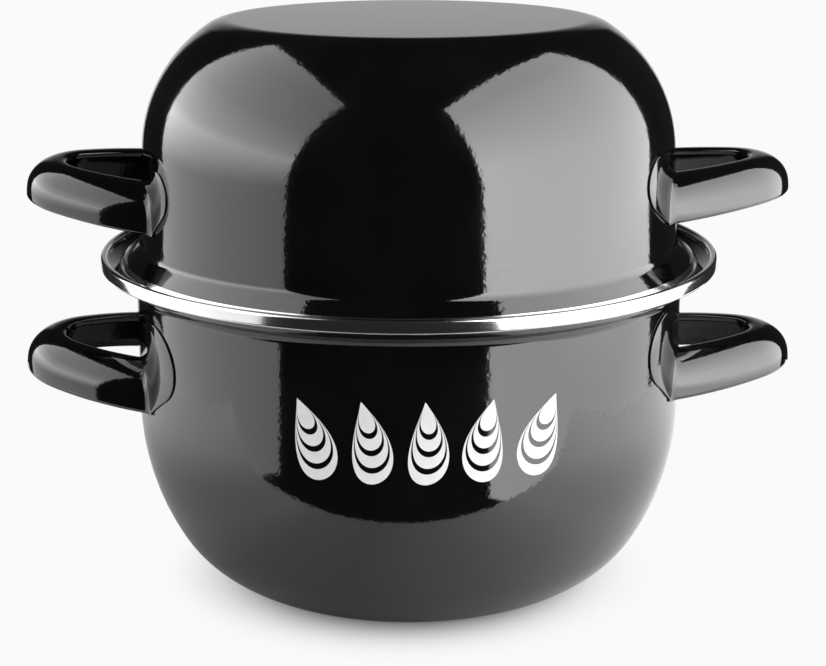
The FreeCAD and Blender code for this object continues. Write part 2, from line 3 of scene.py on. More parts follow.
import bpy
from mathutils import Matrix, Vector


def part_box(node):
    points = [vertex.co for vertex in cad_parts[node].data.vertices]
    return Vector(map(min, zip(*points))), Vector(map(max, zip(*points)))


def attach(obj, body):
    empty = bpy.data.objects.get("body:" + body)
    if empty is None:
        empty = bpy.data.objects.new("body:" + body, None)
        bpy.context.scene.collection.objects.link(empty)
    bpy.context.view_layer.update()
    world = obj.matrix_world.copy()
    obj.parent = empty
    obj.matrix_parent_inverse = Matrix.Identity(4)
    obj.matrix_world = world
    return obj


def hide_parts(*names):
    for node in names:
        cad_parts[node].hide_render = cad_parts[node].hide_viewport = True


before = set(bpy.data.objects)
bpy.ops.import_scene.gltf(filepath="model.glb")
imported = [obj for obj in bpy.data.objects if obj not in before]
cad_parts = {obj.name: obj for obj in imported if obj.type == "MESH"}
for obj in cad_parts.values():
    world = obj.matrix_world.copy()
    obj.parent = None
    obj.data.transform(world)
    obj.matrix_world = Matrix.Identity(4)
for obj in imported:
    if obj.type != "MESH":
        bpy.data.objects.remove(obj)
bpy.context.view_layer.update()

# Pot: a pressed steel shell with a flat base, a round belly and a mouth that flares out. Glossy black
# enamel covers it inside and out, and the thick glaze has a faint ripple like orange peel.
MM = 0.001
SEAM = 0.00001
POT_SHEET = 1.5
POT_WALL = 102.0
POT_HEEL = 45.0
POT_BELLY = 95.0
POT_SPREAD = 7.0
POT_STRAIGHT = 43.34
POT_NECK = 5.0
POT_FLARE = 30.0
POT_FLARE_REACH = 11.6
BASE_MARGIN = 1.5
TURNS = 192
SHELL_SMOOTH = 40
ENAMEL_IOR = 1.84
ENAMEL_TONES = ((0.35, (0.0012, 0.0012, 0.0013)), (0.75, (0.0030, 0.0030, 0.0032)))
ENAMEL_CLOUDING = 0.04
ENAMEL_GRAIN = 2.4
SHELL_GLOSS = 0.05
SHELL_PEEL = 0.0000085


def clear_selection():
    if bpy.context.object and bpy.context.object.mode != "OBJECT":
        bpy.ops.object.mode_set(mode="OBJECT")
    bpy.ops.object.select_all(action="DESELECT")


def settle(piece):
    """Moves a piece's place, turn and scale into its mesh."""
    bpy.context.view_layer.objects.active = piece
    bpy.ops.object.transform_apply(location=True, rotation=True, scale=True)


def close_seams():
    """Merges doubled points and turns all faces one way, in edit mode."""
    bpy.ops.mesh.select_all(action="SELECT")
    bpy.ops.mesh.remove_doubles(threshold=SEAM)
    bpy.ops.mesh.normals_make_consistent(inside=False)


def turn_over():
    """Turns every face of the active piece over."""
    bpy.ops.object.mode_set(mode="EDIT")
    bpy.ops.mesh.select_all(action="SELECT")
    bpy.ops.mesh.flip_normals()
    bpy.ops.object.mode_set(mode="OBJECT")


def bent_line(start, heading, runs, step=4.0):
    """Points of a line that runs straight (length) or bends (radius, turn in degrees)."""
    across, up = start
    points = [(across, up)]
    for run in runs:
        if len(run) == 1:
            pieces = [(run[0], heading)]
        else:
            radius, turn = run
            count = max(2, math.ceil(abs(turn) / step))
            part = turn / count
            chord = 2 * radius * math.sin(math.radians(abs(part)) / 2)
            pieces = [(chord, heading + part * (i + 0.5)) for i in range(count)]
            heading += turn
        for length, way in pieces:
            across += length * math.cos(math.radians(way))
            up += length * math.sin(math.radians(way))
            points.append((across, up))
    return points


def trace(name, line):
    """A chain of edges through these points of the XZ plane, left in edit mode."""
    clear_selection()
    start = (line[0][0] * MM, 0, line[0][1] * MM)
    bpy.ops.mesh.primitive_plane_add(size=MM, location=start)
    bpy.context.object.name = name
    bpy.context.object.data.name = name
    bpy.ops.object.mode_set(mode="EDIT")
    bpy.ops.mesh.select_all(action="SELECT")
    bpy.ops.mesh.merge(type="CENTER")
    for before, after in zip(line, line[1:]):
        move = ((after[0] - before[0]) * MM, 0, (after[1] - before[1]) * MM)
        bpy.ops.mesh.extrude_region_move(TRANSFORM_OT_translate={"value": move})


def spin_shell(name, line, sheet):
    """A shell spun about the pot's axis from the line of its outer skin, and thickened inwards."""
    trace(name, line)
    bpy.ops.mesh.select_all(action="SELECT")
    bpy.ops.mesh.spin(steps=TURNS, angle=math.tau, center=(0, 0, 0), axis=(0, 0, 1))
    close_seams()
    bpy.ops.object.mode_set(mode="OBJECT")
    shell = bpy.context.object
    settle(shell)
    outermost = max(shell.data.polygons, key=lambda face: math.hypot(face.center.x, face.center.y))
    if outermost.normal.x * outermost.center.x + outermost.normal.y * outermost.center.y < 0:
        turn_over()
    wall = shell.modifiers.new("sheet", "SOLIDIFY")
    wall.thickness = sheet * MM
    wall.offset = -1.0
    wall.use_even_offset = True
    bpy.ops.object.modifier_apply(modifier="sheet")
    bpy.ops.object.shade_smooth_by_angle(angle=math.radians(SHELL_SMOOTH))
    return shell


def finish_piece(piece, material, slot, *nodes):
    piece.data.materials.clear()
    piece.data.materials.append(material)
    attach(piece, "root")
    if nodes:
        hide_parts(*nodes)


def new_material(name):
    material = bpy.data.materials.new(name)
    material.use_nodes = True
    return material, material.node_tree


def feed(tree, node, inputs):
    """Sets each named input of a node to a value, or links it to another node's output."""
    for name, value in inputs.items():
        if isinstance(value, bpy.types.NodeSocket):
            tree.links.new(value, node.inputs[name])
        else:
            node.inputs[name].default_value = value


def add_node(tree, kind, inputs=None, **settings):
    node = tree.nodes.new("ShaderNode" + kind)
    for name, value in settings.items():
        setattr(node, name, value)
    feed(tree, node, inputs or {})
    return node


def add_noise(tree, spot, scale, detail):
    noise = add_node(tree, "TexNoise", {"Vector": spot, "Scale": scale, "Detail": detail})
    return noise.outputs["Fac"]


def add_tones(tree, value, stops):
    """A ramp through these (place, colour) stops, read at a value."""
    ramp = add_node(tree, "ValToRGB", {"Fac": value})
    elements = ramp.color_ramp.elements
    while len(elements) < len(stops):
        elements.new(0.5)
    for element, (place, colour) in zip(elements, stops):
        element.position = place
        element.color = (*colour, 1)
    return ramp.outputs["Color"]


def add_range(tree, value, source, target=(0.0, 1.0), blend="LINEAR"):
    """Maps a value from one span to another."""
    ends = {"From Min": source[0], "From Max": source[1], "To Min": target[0], "To Max": target[1]}
    span = add_node(tree, "MapRange", {"Value": value, **ends}, interpolation_type=blend)
    return span.outputs["Result"]


def add_bump(tree, height, strength, distance, under=None):
    """A bump of this height, on the surface or on the bump under it."""
    inputs = {"Height": height, "Strength": strength, "Distance": distance}
    if under:
        inputs["Normal"] = under
    return add_node(tree, "Bump", inputs).outputs["Normal"]


def black_enamel(name, gloss, peel):
    """Fused glass on steel: near black, glossy, with a fine ripple and faint cloudy wear."""
    material, tree = new_material(name)
    spot = add_node(tree, "TexCoord").outputs["Object"]
    clouds = add_noise(tree, spot, scale=34.0, detail=4.0)
    coarse = add_noise(tree, spot, scale=130.0, detail=1.0)
    fine = add_noise(tree, spot, scale=600.0, detail=1.0)
    ripple = add_bump(tree, coarse, strength=1.0, distance=peel)
    grain = add_bump(tree, fine, strength=1.0, distance=peel * ENAMEL_GRAIN, under=ripple)
    feed(tree, tree.nodes["Principled BSDF"], {
        "Base Color": add_tones(tree, clouds, ENAMEL_TONES),
        "Roughness": add_range(tree, clouds, (0.3, 0.8), (gloss, gloss + ENAMEL_CLOUDING)),
        "IOR": ENAMEL_IOR,
        "Normal": grain,
    })
    return material


def pot_skin():
    """The pot's outer line, from the middle of the base to the edge of the mouth."""
    heel_turn = math.degrees(math.asin(1 - POT_SPREAD / (POT_BELLY - POT_HEEL)))
    sine = math.sin(math.radians(heel_turn))
    base = POT_WALL - POT_HEEL * sine - POT_BELLY * (1 - sine)
    neck_across = POT_NECK * (1 - math.sin(math.radians(POT_FLARE)))
    flare = (POT_FLARE_REACH - neck_across) / math.cos(math.radians(POT_FLARE))
    runs = (
        (base - BASE_MARGIN,), (BASE_MARGIN,),
        (POT_HEEL, heel_turn), (POT_BELLY, 90 - heel_turn),
        (POT_STRAIGHT / 2,), (POT_STRAIGHT / 2,),
        (POT_NECK, POT_FLARE - 90), (flare,),
    )
    return bent_line((0, 0), 0, runs)


POT_LINE = pot_skin()
POT_EDGE, POT_EDGE_HEIGHT = POT_LINE[-1]
pot = spin_shell("pot_shell", POT_LINE, POT_SHEET)
pot_enamel = black_enamel("black_pot_enamel", SHELL_GLOSS, SHELL_PEEL)
finish_piece(pot, pot_enamel, "enamel", "pot_body")

# Rim band: a strip of stainless steel folded over the pot's raw edge, with a lip below the flare, an
# upright outer face, a narrow flat top and an inner face. It is polished, with faint lines round it.
BAND_SHEET = 0.7
BAND_COVER = 0.75
BAND_STEP = 15.0
RIM_REACH = 1.2
RIM_LIP = 6.6
RIM_FACE = 4.4
RIM_TOP = 0.6
RIM_BEND = 1.0
RIM_SEAT = 0.05
STEEL_TONES = ((0.3, (0.76, 0.76, 0.75)), (0.75, (0.86, 0.86, 0.86)))


def polished_steel(name):
    """Buffed stainless steel whose fine lines run round the rim."""
    material, tree = new_material(name)
    spot = add_node(tree, "TexCoord").outputs["Object"]
    height = add_node(tree, "SeparateXYZ", {"Vector": spot}).outputs["Z"]
    flat = add_node(tree, "VectorMath", {0: spot, 1: (1, 1, 0)}, operation="MULTIPLY")
    radius = add_node(tree, "VectorMath", {0: flat.outputs["Vector"]}, operation="LENGTH")
    ring = add_node(tree, "CombineXYZ", {"X": radius.outputs["Value"], "Y": height})
    lines = add_noise(tree, ring.outputs["Vector"], scale=5200.0, detail=2.0)
    smears = add_noise(tree, spot, scale=60.0, detail=3.0)
    feed(tree, tree.nodes["Principled BSDF"], {
        "Base Color": add_tones(tree, smears, STEEL_TONES),
        "Metallic": 1.0,
        "Roughness": add_range(tree, lines, (0.3, 0.7), (0.08, 0.16)),
        "Normal": add_bump(tree, lines, strength=0.5, distance=0.0000012),
    })
    return material


def rim_skin():
    """The band's outer line, from the lip's edge under the flare over the top and down inside."""
    slope = math.radians(POT_FLARE)
    corner = POT_EDGE_HEIGHT - BAND_COVER / math.cos(slope) + RIM_REACH * math.tan(slope)
    start = (POT_EDGE + RIM_REACH - RIM_LIP * math.cos(slope), corner - RIM_LIP * math.sin(slope))
    cut = RIM_BEND * math.tan((math.pi / 2 - slope) / 2)
    stop = POT_EDGE_HEIGHT + POT_SHEET * math.cos(slope) + RIM_SEAT
    runs = (
        (RIM_LIP - cut,), (RIM_BEND, 90 - POT_FLARE),
        (RIM_FACE - cut - RIM_BEND,), (RIM_BEND, 90),
        (RIM_TOP,), (RIM_BEND, 90),
        (corner + RIM_FACE - RIM_BEND - stop,),
    )
    return bent_line(start, POT_FLARE, runs, BAND_STEP)


rim = spin_shell("pot_rim_strip", rim_skin(), BAND_SHEET)
rim_steel = polished_steel("polished_rim_steel")
finish_piece(rim, rim_steel, "rim_steel", "pot_rim_band")

# Lid: the same enamelled steel, drawn deep enough to serve as a bowl for the empty shells. It has a flat
# top, a round shoulder, a skirt that widens a little downwards and a flared edge.
LID_SHEET = 1.5
LID_INSET = 6.6
LID_FLARE_REACH = 8.5
LID_CROWN_INSET = 33.0
LID_SHOULDER = 15.3
LID_DOME = 55.0
LID_DRAFT = 2.3
LID_NECK = 4.0
LID_FLARE = 44.0
LID_DEPTH = 88.6
LID_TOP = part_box("lid_body")[1].z / MM


def lid_skin():
    """The lid's outer line, from the middle of the top down to the edge of the flare."""
    draft = math.radians(LID_DRAFT)
    slope = math.radians(LID_FLARE)
    edge = POT_EDGE - LID_INSET
    wall = edge - LID_FLARE_REACH
    ratio = (LID_DOME * math.cos(draft) - LID_CROWN_INSET) / (LID_DOME - LID_SHOULDER)
    shoulder = math.asin(ratio)
    crown_depth = LID_SHOULDER * (1 - math.cos(shoulder))
    dome_depth = crown_depth + LID_DOME * (math.cos(shoulder) - math.sin(draft))
    across = LID_FLARE_REACH - LID_NECK * (math.cos(draft) - math.sin(slope))
    down = LID_DEPTH - dome_depth - LID_NECK * (math.cos(slope) - math.sin(draft))
    spread = math.cos(slope + draft)
    flare = (across * math.cos(draft) - down * math.sin(draft)) / spread
    skirt = (down * math.cos(slope) - across * math.sin(slope)) / spread
    runs = (
        (wall - LID_CROWN_INSET - BASE_MARGIN,), (BASE_MARGIN,),
        (LID_SHOULDER, math.degrees(shoulder)),
        (LID_DOME, 90 - LID_DRAFT - math.degrees(shoulder)),
        (skirt / 2,), (skirt / 2,),
        (LID_NECK, LID_FLARE + LID_DRAFT - 90), (flare,),
    )
    return [(out, LID_TOP - depth) for out, depth in bent_line((0, 0), 0, runs)]


LID_LINE = lid_skin()
LID_EDGE = LID_LINE[-1][0]
lid = spin_shell("lid_shell", LID_LINE, LID_SHEET)
lid_enamel = black_enamel("black_lid_enamel", SHELL_GLOSS, SHELL_PEEL)
finish_piece(lid, lid_enamel, "enamel", "lid_body")

# Lid band: a narrower stainless strip, folded flat on both sides of the lid's edge. The lid rests on it.
# It is polished like the pot's band, and its closed fold is the lowest part of the lid.
BEAD_LIP = 2.4
BEAD_REACH = 0.8
BEAD_CORNER = 0.85
BEAD_FOLD = 1.0
BEAD_INNER_LIP = 5.0


def bead_skin():
    """The band's outer line, from the lip above the flare round the edge to the lip inside."""
    slope = math.radians(LID_FLARE)
    corner = LID_DEPTH - BAND_COVER / math.cos(slope) + BEAD_REACH * math.tan(slope)
    start = (
        LID_EDGE + BEAD_REACH - BEAD_LIP * math.cos(slope),
        corner - BEAD_LIP * math.sin(slope),
    )
    cut = BEAD_CORNER * math.tan((math.pi / 2 - slope) / 2)
    fold_cut = BEAD_FOLD * math.tan((math.pi / 2 + slope) / 2)
    face = (LID_SHEET + 2 * BAND_COVER) / math.cos(slope)
    runs = (
        (BEAD_LIP - cut,), (BEAD_CORNER, 90 - LID_FLARE),
        (face - cut - fold_cut,), (BEAD_FOLD, 90 + LID_FLARE),
        (BEAD_INNER_LIP,),
    )
    line = bent_line(start, LID_FLARE, runs, BAND_STEP)
    return [(out, LID_TOP - depth) for out, depth in line]


bead = spin_shell("lid_rim_strip", bead_skin(), BAND_SHEET)
bead_steel = polished_steel("polished_lid_rim_steel")
finish_piece(bead, bead_steel, "rim_steel", "lid_rim_band")

# Handles: four loops pressed from one strip of steel each, open below. At the wall each leg bends out
# into a tab with a round end, rolled to the wall and spot welded. Black enamel covers loop and tabs.
HANDLE_SHEET = 1.2
HANDLE_TILT = 5.0
HANDLE_REACH = 42.5
HANDLE_HALF = 38.0
HANDLE_TIP = 29.0
HANDLE_RISE = 8.4
HANDLE_DROP = 9.5
HANDLE_FLAT = 0.6
HANDLE_SMOOTH = 38
POT_HANDLE_DOWN = 39.3
LID_HANDLE_DOWN = 63.0
HANDLE_GLOSS = 0.06
HANDLE_PEEL = 0.000006
INNER_BEND = 2.4
OUTER_BEND = 11.5
OUTER_CROWN = 30.0
CROWN_TURN = 7.0
LIP_BEND = 1.6
LIP_TURN = 55.0
SECTION_STEP = 7.5
TIP_STEPS = 24
FLANK_STEPS = 14
LEG_SPLAY = 7.0
LEG_STUB = 8
TAPER_TOP = 1.0
TAPER_DEPTH = 7.0
TAPER_MIDDLE = 12.0
TAPER_RATE = 0.05
EDGE_ANGLE = 60
LOOP_ROUND = (0.35, 2)
TAB_FOOT = -9.0
TAB_SHEET = 0.5
TAB_ROUND = (0.25, 3)
TAB_ARC = 32
TAB_STRIP = 1.5
TAB_FILLET = 2.6
FILLET_CORNERS = 9
FILLET_DEPTH = 5.5
FILLET_TOP = 0.6
FILLET_START = 0.4
FILLET_IN = 3.0
FILLET_OUT = 2.0
FILLET_SINK = 0.02
FILLET_BACK = 0.5
WELD_GAP = 0.15
WALL_FOOT = 60
SLIDE_LIMIT = 40.0
HALVINGS = 24


def radius_at(line, height):
    """Outer radius of a shell at this height of its wall."""
    for (near, low), (far, high) in zip(line, line[1:]):
        crossed = min(low, high) <= height <= max(low, high)
        if crossed and near > WALL_FOOT and low != high:
            return near + (far - near) * (height - low) / (high - low)
    return line[-1][0]


def tangent_point(corner, centre, radius, side):
    """Where the line from a corner touches a circle, on its right (1) or left (-1)."""
    across = centre[0] - corner[0]
    up = centre[1] - corner[1]
    apart = math.hypot(across, up)
    angle = math.atan2(up, across) - side * math.asin(radius / apart)
    length = math.sqrt(apart ** 2 - radius ** 2)
    return (corner[0] + length * math.cos(angle), corner[1] + length * math.sin(angle))


def face_along(piece, way):
    """Turns a piece's faces over when most of their area looks against this way."""
    if sum(face.normal.dot(way) * face.area for face in piece.data.polygons) < 0:
        turn_over()


def press_sheet(piece, sheet, rounding, segments):
    """Gives a skin its sheet on the inner side, and rounds the sheet's edges."""
    wall = piece.modifiers.new("sheet", "SOLIDIFY")
    wall.thickness = sheet * MM
    wall.offset = -1.0
    bpy.ops.object.modifier_apply(modifier="sheet")
    rounded = piece.modifiers.new("rounded", "BEVEL")
    rounded.limit_method = "ANGLE"
    rounded.angle_limit = math.radians(EDGE_ANGLE)
    rounded.width = rounding * MM
    rounded.segments = segments
    bpy.ops.object.modifier_apply(modifier="rounded")


def channel_skin():
    """Section of the loop's channel: inner side, narrow top, rounded outer side and curled lip."""
    crown = 90 - CROWN_TURN / 2
    width = INNER_BEND + HANDLE_FLAT + OUTER_BEND * math.sin(math.radians(crown))
    width += OUTER_CROWN * (1 - math.cos(math.radians(CROWN_TURN / 2)))
    start = (HANDLE_REACH - width, HANDLE_RISE - INNER_BEND - HANDLE_DROP)
    runs = (
        (HANDLE_DROP / 3,), (HANDLE_DROP / 3,), (HANDLE_DROP / 3,),
        (INNER_BEND, -90), (HANDLE_FLAT / 2,), (HANDLE_FLAT / 2,),
        (OUTER_BEND, -crown), (OUTER_CROWN, -CROWN_TURN), (LIP_BEND, -LIP_TURN),
    )
    return bent_line(start, 90, runs, SECTION_STEP)


def taper(away, up):
    """The outer side is deeper at the wall and shallower at the tip than halfway."""
    rise = away * math.tan(math.radians(HANDLE_TILT))
    depth = max(0.0, HANDLE_RISE - TAPER_TOP - (up - rise)) / (HANDLE_RISE + TAPER_DEPTH)
    return depth * (away - TAPER_MIDDLE) * TAPER_RATE


def is_clear(line, spot, step, slide):
    """Whether a point that slides this far along the loop is outside the wall."""
    across, side_way, up = spot
    reach = math.hypot(across + slide * step[0], side_way)
    return reach >= radius_at(line, up + slide * step[1]) + WELD_GAP


def slide_clear(line, spot, step):
    """The least slide along the loop that brings a point out of the wall."""
    if is_clear(line, spot, step, 0.0):
        return 0.0
    low, high = 0.0, SLIDE_LIMIT
    for _ in range(HALVINGS):
        half = (low + high) / 2
        if is_clear(line, spot, step, half):
            high = half
        else:
            low = half
    return high


def sweep_loop(name, wall):
    """The loop's skin: half of it is spun and drawn from its section, and mirrored."""
    root = math.sqrt(wall ** 2 - HANDLE_HALF ** 2) - wall
    along = HANDLE_REACH - HANDLE_TIP - root
    splay = math.radians(LEG_SPLAY)
    spare = HANDLE_HALF * math.cos(splay) - along * math.sin(splay) - HANDLE_TIP
    side = (along ** 2 + HANDLE_HALF ** 2 - HANDLE_TIP ** 2) / (2 * spare)
    flank = (root - side * math.sin(splay), HANDLE_HALF - side * math.cos(splay))
    join = math.atan2(-flank[1], HANDLE_REACH - HANDLE_TIP - flank[0])
    trace(name, channel_skin())
    bpy.ops.mesh.select_all(action="SELECT")
    tip = ((HANDLE_REACH - HANDLE_TIP) * MM, 0, 0)
    bpy.ops.mesh.spin(steps=TIP_STEPS, angle=-join, center=tip, axis=(0, 0, 1))
    pivot = (flank[0] * MM, flank[1] * MM, 0)
    turn = join - math.pi / 2 + splay
    bpy.ops.mesh.spin(steps=FLANK_STEPS, angle=turn, center=pivot, axis=(0, 0, 1))
    stub = (-LEG_STUB * MM * math.cos(splay), LEG_STUB * MM * math.sin(splay), 0)
    bpy.ops.mesh.extrude_region_move(TRANSFORM_OT_translate={"value": stub})
    bpy.ops.object.mode_set(mode="OBJECT")
    loop = bpy.context.object
    settle(loop)
    other = loop.modifiers.new("other_leg", "MIRROR")
    other.use_axis = (False, True, False)
    other.merge_threshold = SEAM
    bpy.ops.object.modifier_apply(modifier="other_leg")
    bpy.ops.object.mode_set(mode="EDIT")
    close_seams()
    bpy.ops.object.mode_set(mode="OBJECT")
    face_along(loop, Vector((0, 0, 1)))
    return loop


def make_loop(name, line, middle):
    """The bent channel, tilted up, tapered towards its tip and trimmed to the wall."""
    wall = radius_at(line, middle)
    loop = sweep_loop(name, wall)
    press_sheet(loop, HANDLE_SHEET, *LOOP_ROUND)
    loop.rotation_euler = (0, -math.radians(HANDLE_TILT), 0)
    loop.location = (wall * MM, 0, middle * MM)
    settle(loop)
    step = (math.cos(math.radians(HANDLE_TILT)), math.sin(math.radians(HANDLE_TILT)))
    for point in loop.data.vertices:
        point.co.z += taper(point.co.x / MM - wall, point.co.z / MM - middle) * MM
    for point in loop.data.vertices:
        across, side_way, up = (value / MM for value in point.co)
        slide = slide_clear(line, (across, side_way, up), step)
        if slide:
            point.co.x = (across + slide * step[0]) * MM
            point.co.z = (up + slide * step[1]) * MM
    bpy.ops.object.mode_set(mode="EDIT")
    bpy.ops.mesh.select_all(action="SELECT")
    bpy.ops.mesh.remove_doubles(threshold=SEAM)
    bpy.ops.object.mode_set(mode="OBJECT")
    return loop


def tab_outline(root, out, up, head, radius):
    """Outline of a tab: a foot under the leg, a round end beside it and a head above it."""
    centre = (HANDLE_HALF + out, up)
    inner_foot = (HANDLE_HALF - root, TAB_FOOT)
    outer_foot = (HANDLE_HALF, TAB_FOOT)
    inner_head = (HANDLE_HALF - root, head)
    low = tangent_point(outer_foot, centre, radius, 1)
    high = tangent_point(inner_head, centre, radius, -1)
    first = math.atan2(low[1] - centre[1], low[0] - centre[0])
    last = math.atan2(high[1] - centre[1], high[0] - centre[0])
    if last < first:
        last += math.tau
    outline = [inner_foot, outer_foot]
    for i in range(TAB_ARC + 1):
        angle = first + (last - first) * i / TAB_ARC
        outline.append((centre[0] + radius * math.cos(angle), centre[1] + radius * math.sin(angle)))
    outline.append(inner_head)
    return outline


def make_tab(line, middle, side, root, out, up, head, radius):
    """One tab: its outline is cut into upright strips and rolled to the wall."""
    outline = tab_outline(root, out, up, head, radius)
    clear_selection()
    bpy.ops.mesh.primitive_circle_add(
        vertices=len(outline), radius=MM, fill_type="NGON", location=(0, 0, 0))
    tab = bpy.context.object
    for point, (across, height) in zip(tab.data.vertices, outline):
        point.co = (POT_WALL * MM, side * across * MM, (middle + height) * MM)
    bpy.ops.object.mode_set(mode="EDIT")
    cut = HANDLE_HALF - root + TAB_STRIP
    while cut < HANDLE_HALF + out + radius:
        bpy.ops.mesh.select_all(action="SELECT")
        bpy.ops.mesh.bisect(plane_co=(0, side * cut * MM, 0), plane_no=(0, 1, 0))
        cut += TAB_STRIP
    bpy.ops.object.mode_set(mode="OBJECT")
    for point in tab.data.vertices:
        reach = (radius_at(line, point.co.z / MM) + WELD_GAP + TAB_SHEET) * MM
        point.co.x = math.sqrt(reach ** 2 - point.co.y ** 2)
    face_along(tab, Vector((1, 0, 0)))
    press_sheet(tab, TAB_SHEET, *TAB_ROUND)
    return tab


def fillet_spot(leg, face, number, fade):
    """A corner of the bend's section, between the leg (0) and the tab (7), or hidden behind (8)."""
    splay = math.radians(LEG_SPLAY)
    slope = math.asin(leg / face)
    corner = Vector((math.sqrt(face ** 2 - leg ** 2), leg))
    if number == FILLET_CORNERS - 1:
        return corner - Vector((FILLET_BACK, FILLET_BACK))
    near = corner + Vector((math.cos(splay), -math.sin(splay))) * TAB_FILLET * fade
    far = corner + Vector((-math.sin(slope), math.cos(slope))) * TAB_FILLET * fade
    along = number / (FILLET_CORNERS - 2)
    return near * (1 - along) ** 2 + corner * 2 * along * (1 - along) + far * along ** 2


def make_bend(line, middle, side):
    """The rounded bend that carries a leg's outer side over into its tab."""
    edge = [
        point for point in channel_skin()
        if point[0] > HANDLE_REACH - FILLET_DEPTH and point[1] < HANDLE_RISE - FILLET_TOP
    ]
    wall = radius_at(line, middle)
    clear_selection()
    bpy.ops.mesh.primitive_circle_add(
        vertices=FILLET_CORNERS, radius=MM, fill_type="NGON", location=(0, 0, 0))
    bend = bpy.context.object
    bpy.ops.object.mode_set(mode="EDIT")
    bpy.ops.mesh.select_all(action="SELECT")
    for _ in edge[1:]:
        bpy.ops.mesh.extrude_region_move(TRANSFORM_OT_translate={"value": (0, 0, MM)})
    bpy.ops.object.mode_set(mode="OBJECT")
    for point in bend.data.vertices:
        level = round(point.co.z / MM)
        angle = math.degrees(math.atan2(point.co.y, point.co.x))
        number = round(angle * FILLET_CORNERS / 360) % FILLET_CORNERS
        across, up = edge[level]
        grown = (level + FILLET_START) / FILLET_IN
        left = (len(edge) - 1 - level + FILLET_START) / FILLET_OUT
        fade = min(1.0, grown, left)
        leg = HANDLE_HALF - (HANDLE_REACH - across) - FILLET_SINK
        spot = fillet_spot(leg, wall + WELD_GAP + TAB_SHEET, number, fade)
        height = middle + up + (spot.x - wall) * math.sin(math.radians(HANDLE_TILT))
        height += taper(spot.x - wall, height - middle)
        drift = radius_at(line, height) - wall
        point.co = ((spot.x + drift) * MM, side * spot.y * MM, height * MM)
    bpy.ops.object.mode_set(mode="EDIT")
    bpy.ops.mesh.select_all(action="SELECT")
    bpy.ops.mesh.normals_make_consistent(inside=False)
    bpy.ops.object.mode_set(mode="OBJECT")
    return bend


def make_handle(name, line, middle, tab, lean):
    """One handle at +X. The lean lifts its far leg and lowers its near one, as it was welded on."""
    loop = make_loop(name, line, middle)
    parts = [make_tab(line, middle, side, *tab) for side in (1, -1)]
    parts += [make_bend(line, middle, side) for side in (1, -1)]
    clear_selection()
    for part in (*parts, loop):
        part.select_set(True)
    bpy.context.view_layer.objects.active = loop
    bpy.ops.object.join()
    for point in loop.data.vertices:
        point.co.z += point.co.y * lean
    bpy.ops.object.shade_smooth_by_angle(angle=math.radians(HANDLE_SMOOTH))
    if name.endswith("left"):
        loop.rotation_euler = (0, 0, math.pi)
        settle(loop)
    finish_piece(loop, handle_enamel, "handle_enamel", name.replace("loop", "handle"))


POT_HANDLE = POT_EDGE_HEIGHT - POT_HANDLE_DOWN
LID_HANDLE = LID_TOP - LID_HANDLE_DOWN
# Each row: piece, wall, height of the loop's middle, tab (root, out, up, head, radius), lean.
HANDLES = (
    ("pot_loop_right", POT_LINE, POT_HANDLE + 1.6, (12, 6.8, 13.0, 18, 14), 0.0),
    ("pot_loop_left", POT_LINE, POT_HANDLE + 0.9, (12, 6.8, 13.0, 19, 14), -0.08),
    ("lid_loop_right", LID_LINE, LID_HANDLE + 1.6, (6, 7.0, 7.5, 9, 10.5), 0.0),
    ("lid_loop_left", LID_LINE, LID_HANDLE + 0.6, (9, 3.5, 6.5, 8, 9), -0.06),
)
handle_enamel = black_enamel("black_handle_enamel", HANDLE_GLOSS, HANDLE_PEEL)
for handle in HANDLES:
    make_handle(*handle)

# Print: a row of plain mussel shells in white enamel, fired onto the front of the pot. Each shell is a
# drop of four pale growth bands, a hair thicker than the black glaze that it lies on.
SHELL_COUNT = 5
SHELL_WIDE = 15.6
SHELL_TALL = 29.0
SHELL_STEP = 19.4
SHELL_LEAN = 8
SHELL_MIDDLE = (4.0, 82.0)
SHELL_SHIFT = (-0.6, 1.0)
SHELL_BANDS = ((1.0, 0.87), (0.80, 0.66), (0.59, 0.45), (0.38, 0.0))
BAND_CORNERS = 56
DISC_STEPS = (0.5, 0.3)
DROP_POINT = 1.15
DROP_WIDE = 1.18
DROP_CURL = 0.16
PRINT_SHEET = 0.07
PRINT_LIFT = 0.02
PRINT_AWAY = 8
PRINT_TONES = ((0.3, (0.70, 0.70, 0.69)), (0.7, (0.76, 0.76, 0.755)))

white_print, tree = new_material("white_print_enamel")
spot = add_node(tree, "TexCoord").outputs["Object"]
mottle = add_noise(tree, spot, scale=260.0, detail=3.0)
feed(tree, tree.nodes["Principled BSDF"], {
    "Base Color": add_tones(tree, mottle, PRINT_TONES),
    "Roughness": 0.6,
    "Specular IOR Level": 0.2,
    "Normal": add_bump(tree, mottle, strength=0.6, distance=0.00001),
})


def shape_drop(across, up):
    """Bends the unit disc into a mussel's outline, with its hinge at the top."""
    reach = math.hypot(across, up)
    angle = math.atan2(across, up)
    belly = abs(math.sin(angle / 2)) ** DROP_POINT
    wide = reach * math.sin(angle) * belly
    tall = 1 - reach * (1 - math.cos(angle))
    return wide * DROP_WIDE + DROP_CURL * (1 - tall * tall), tall


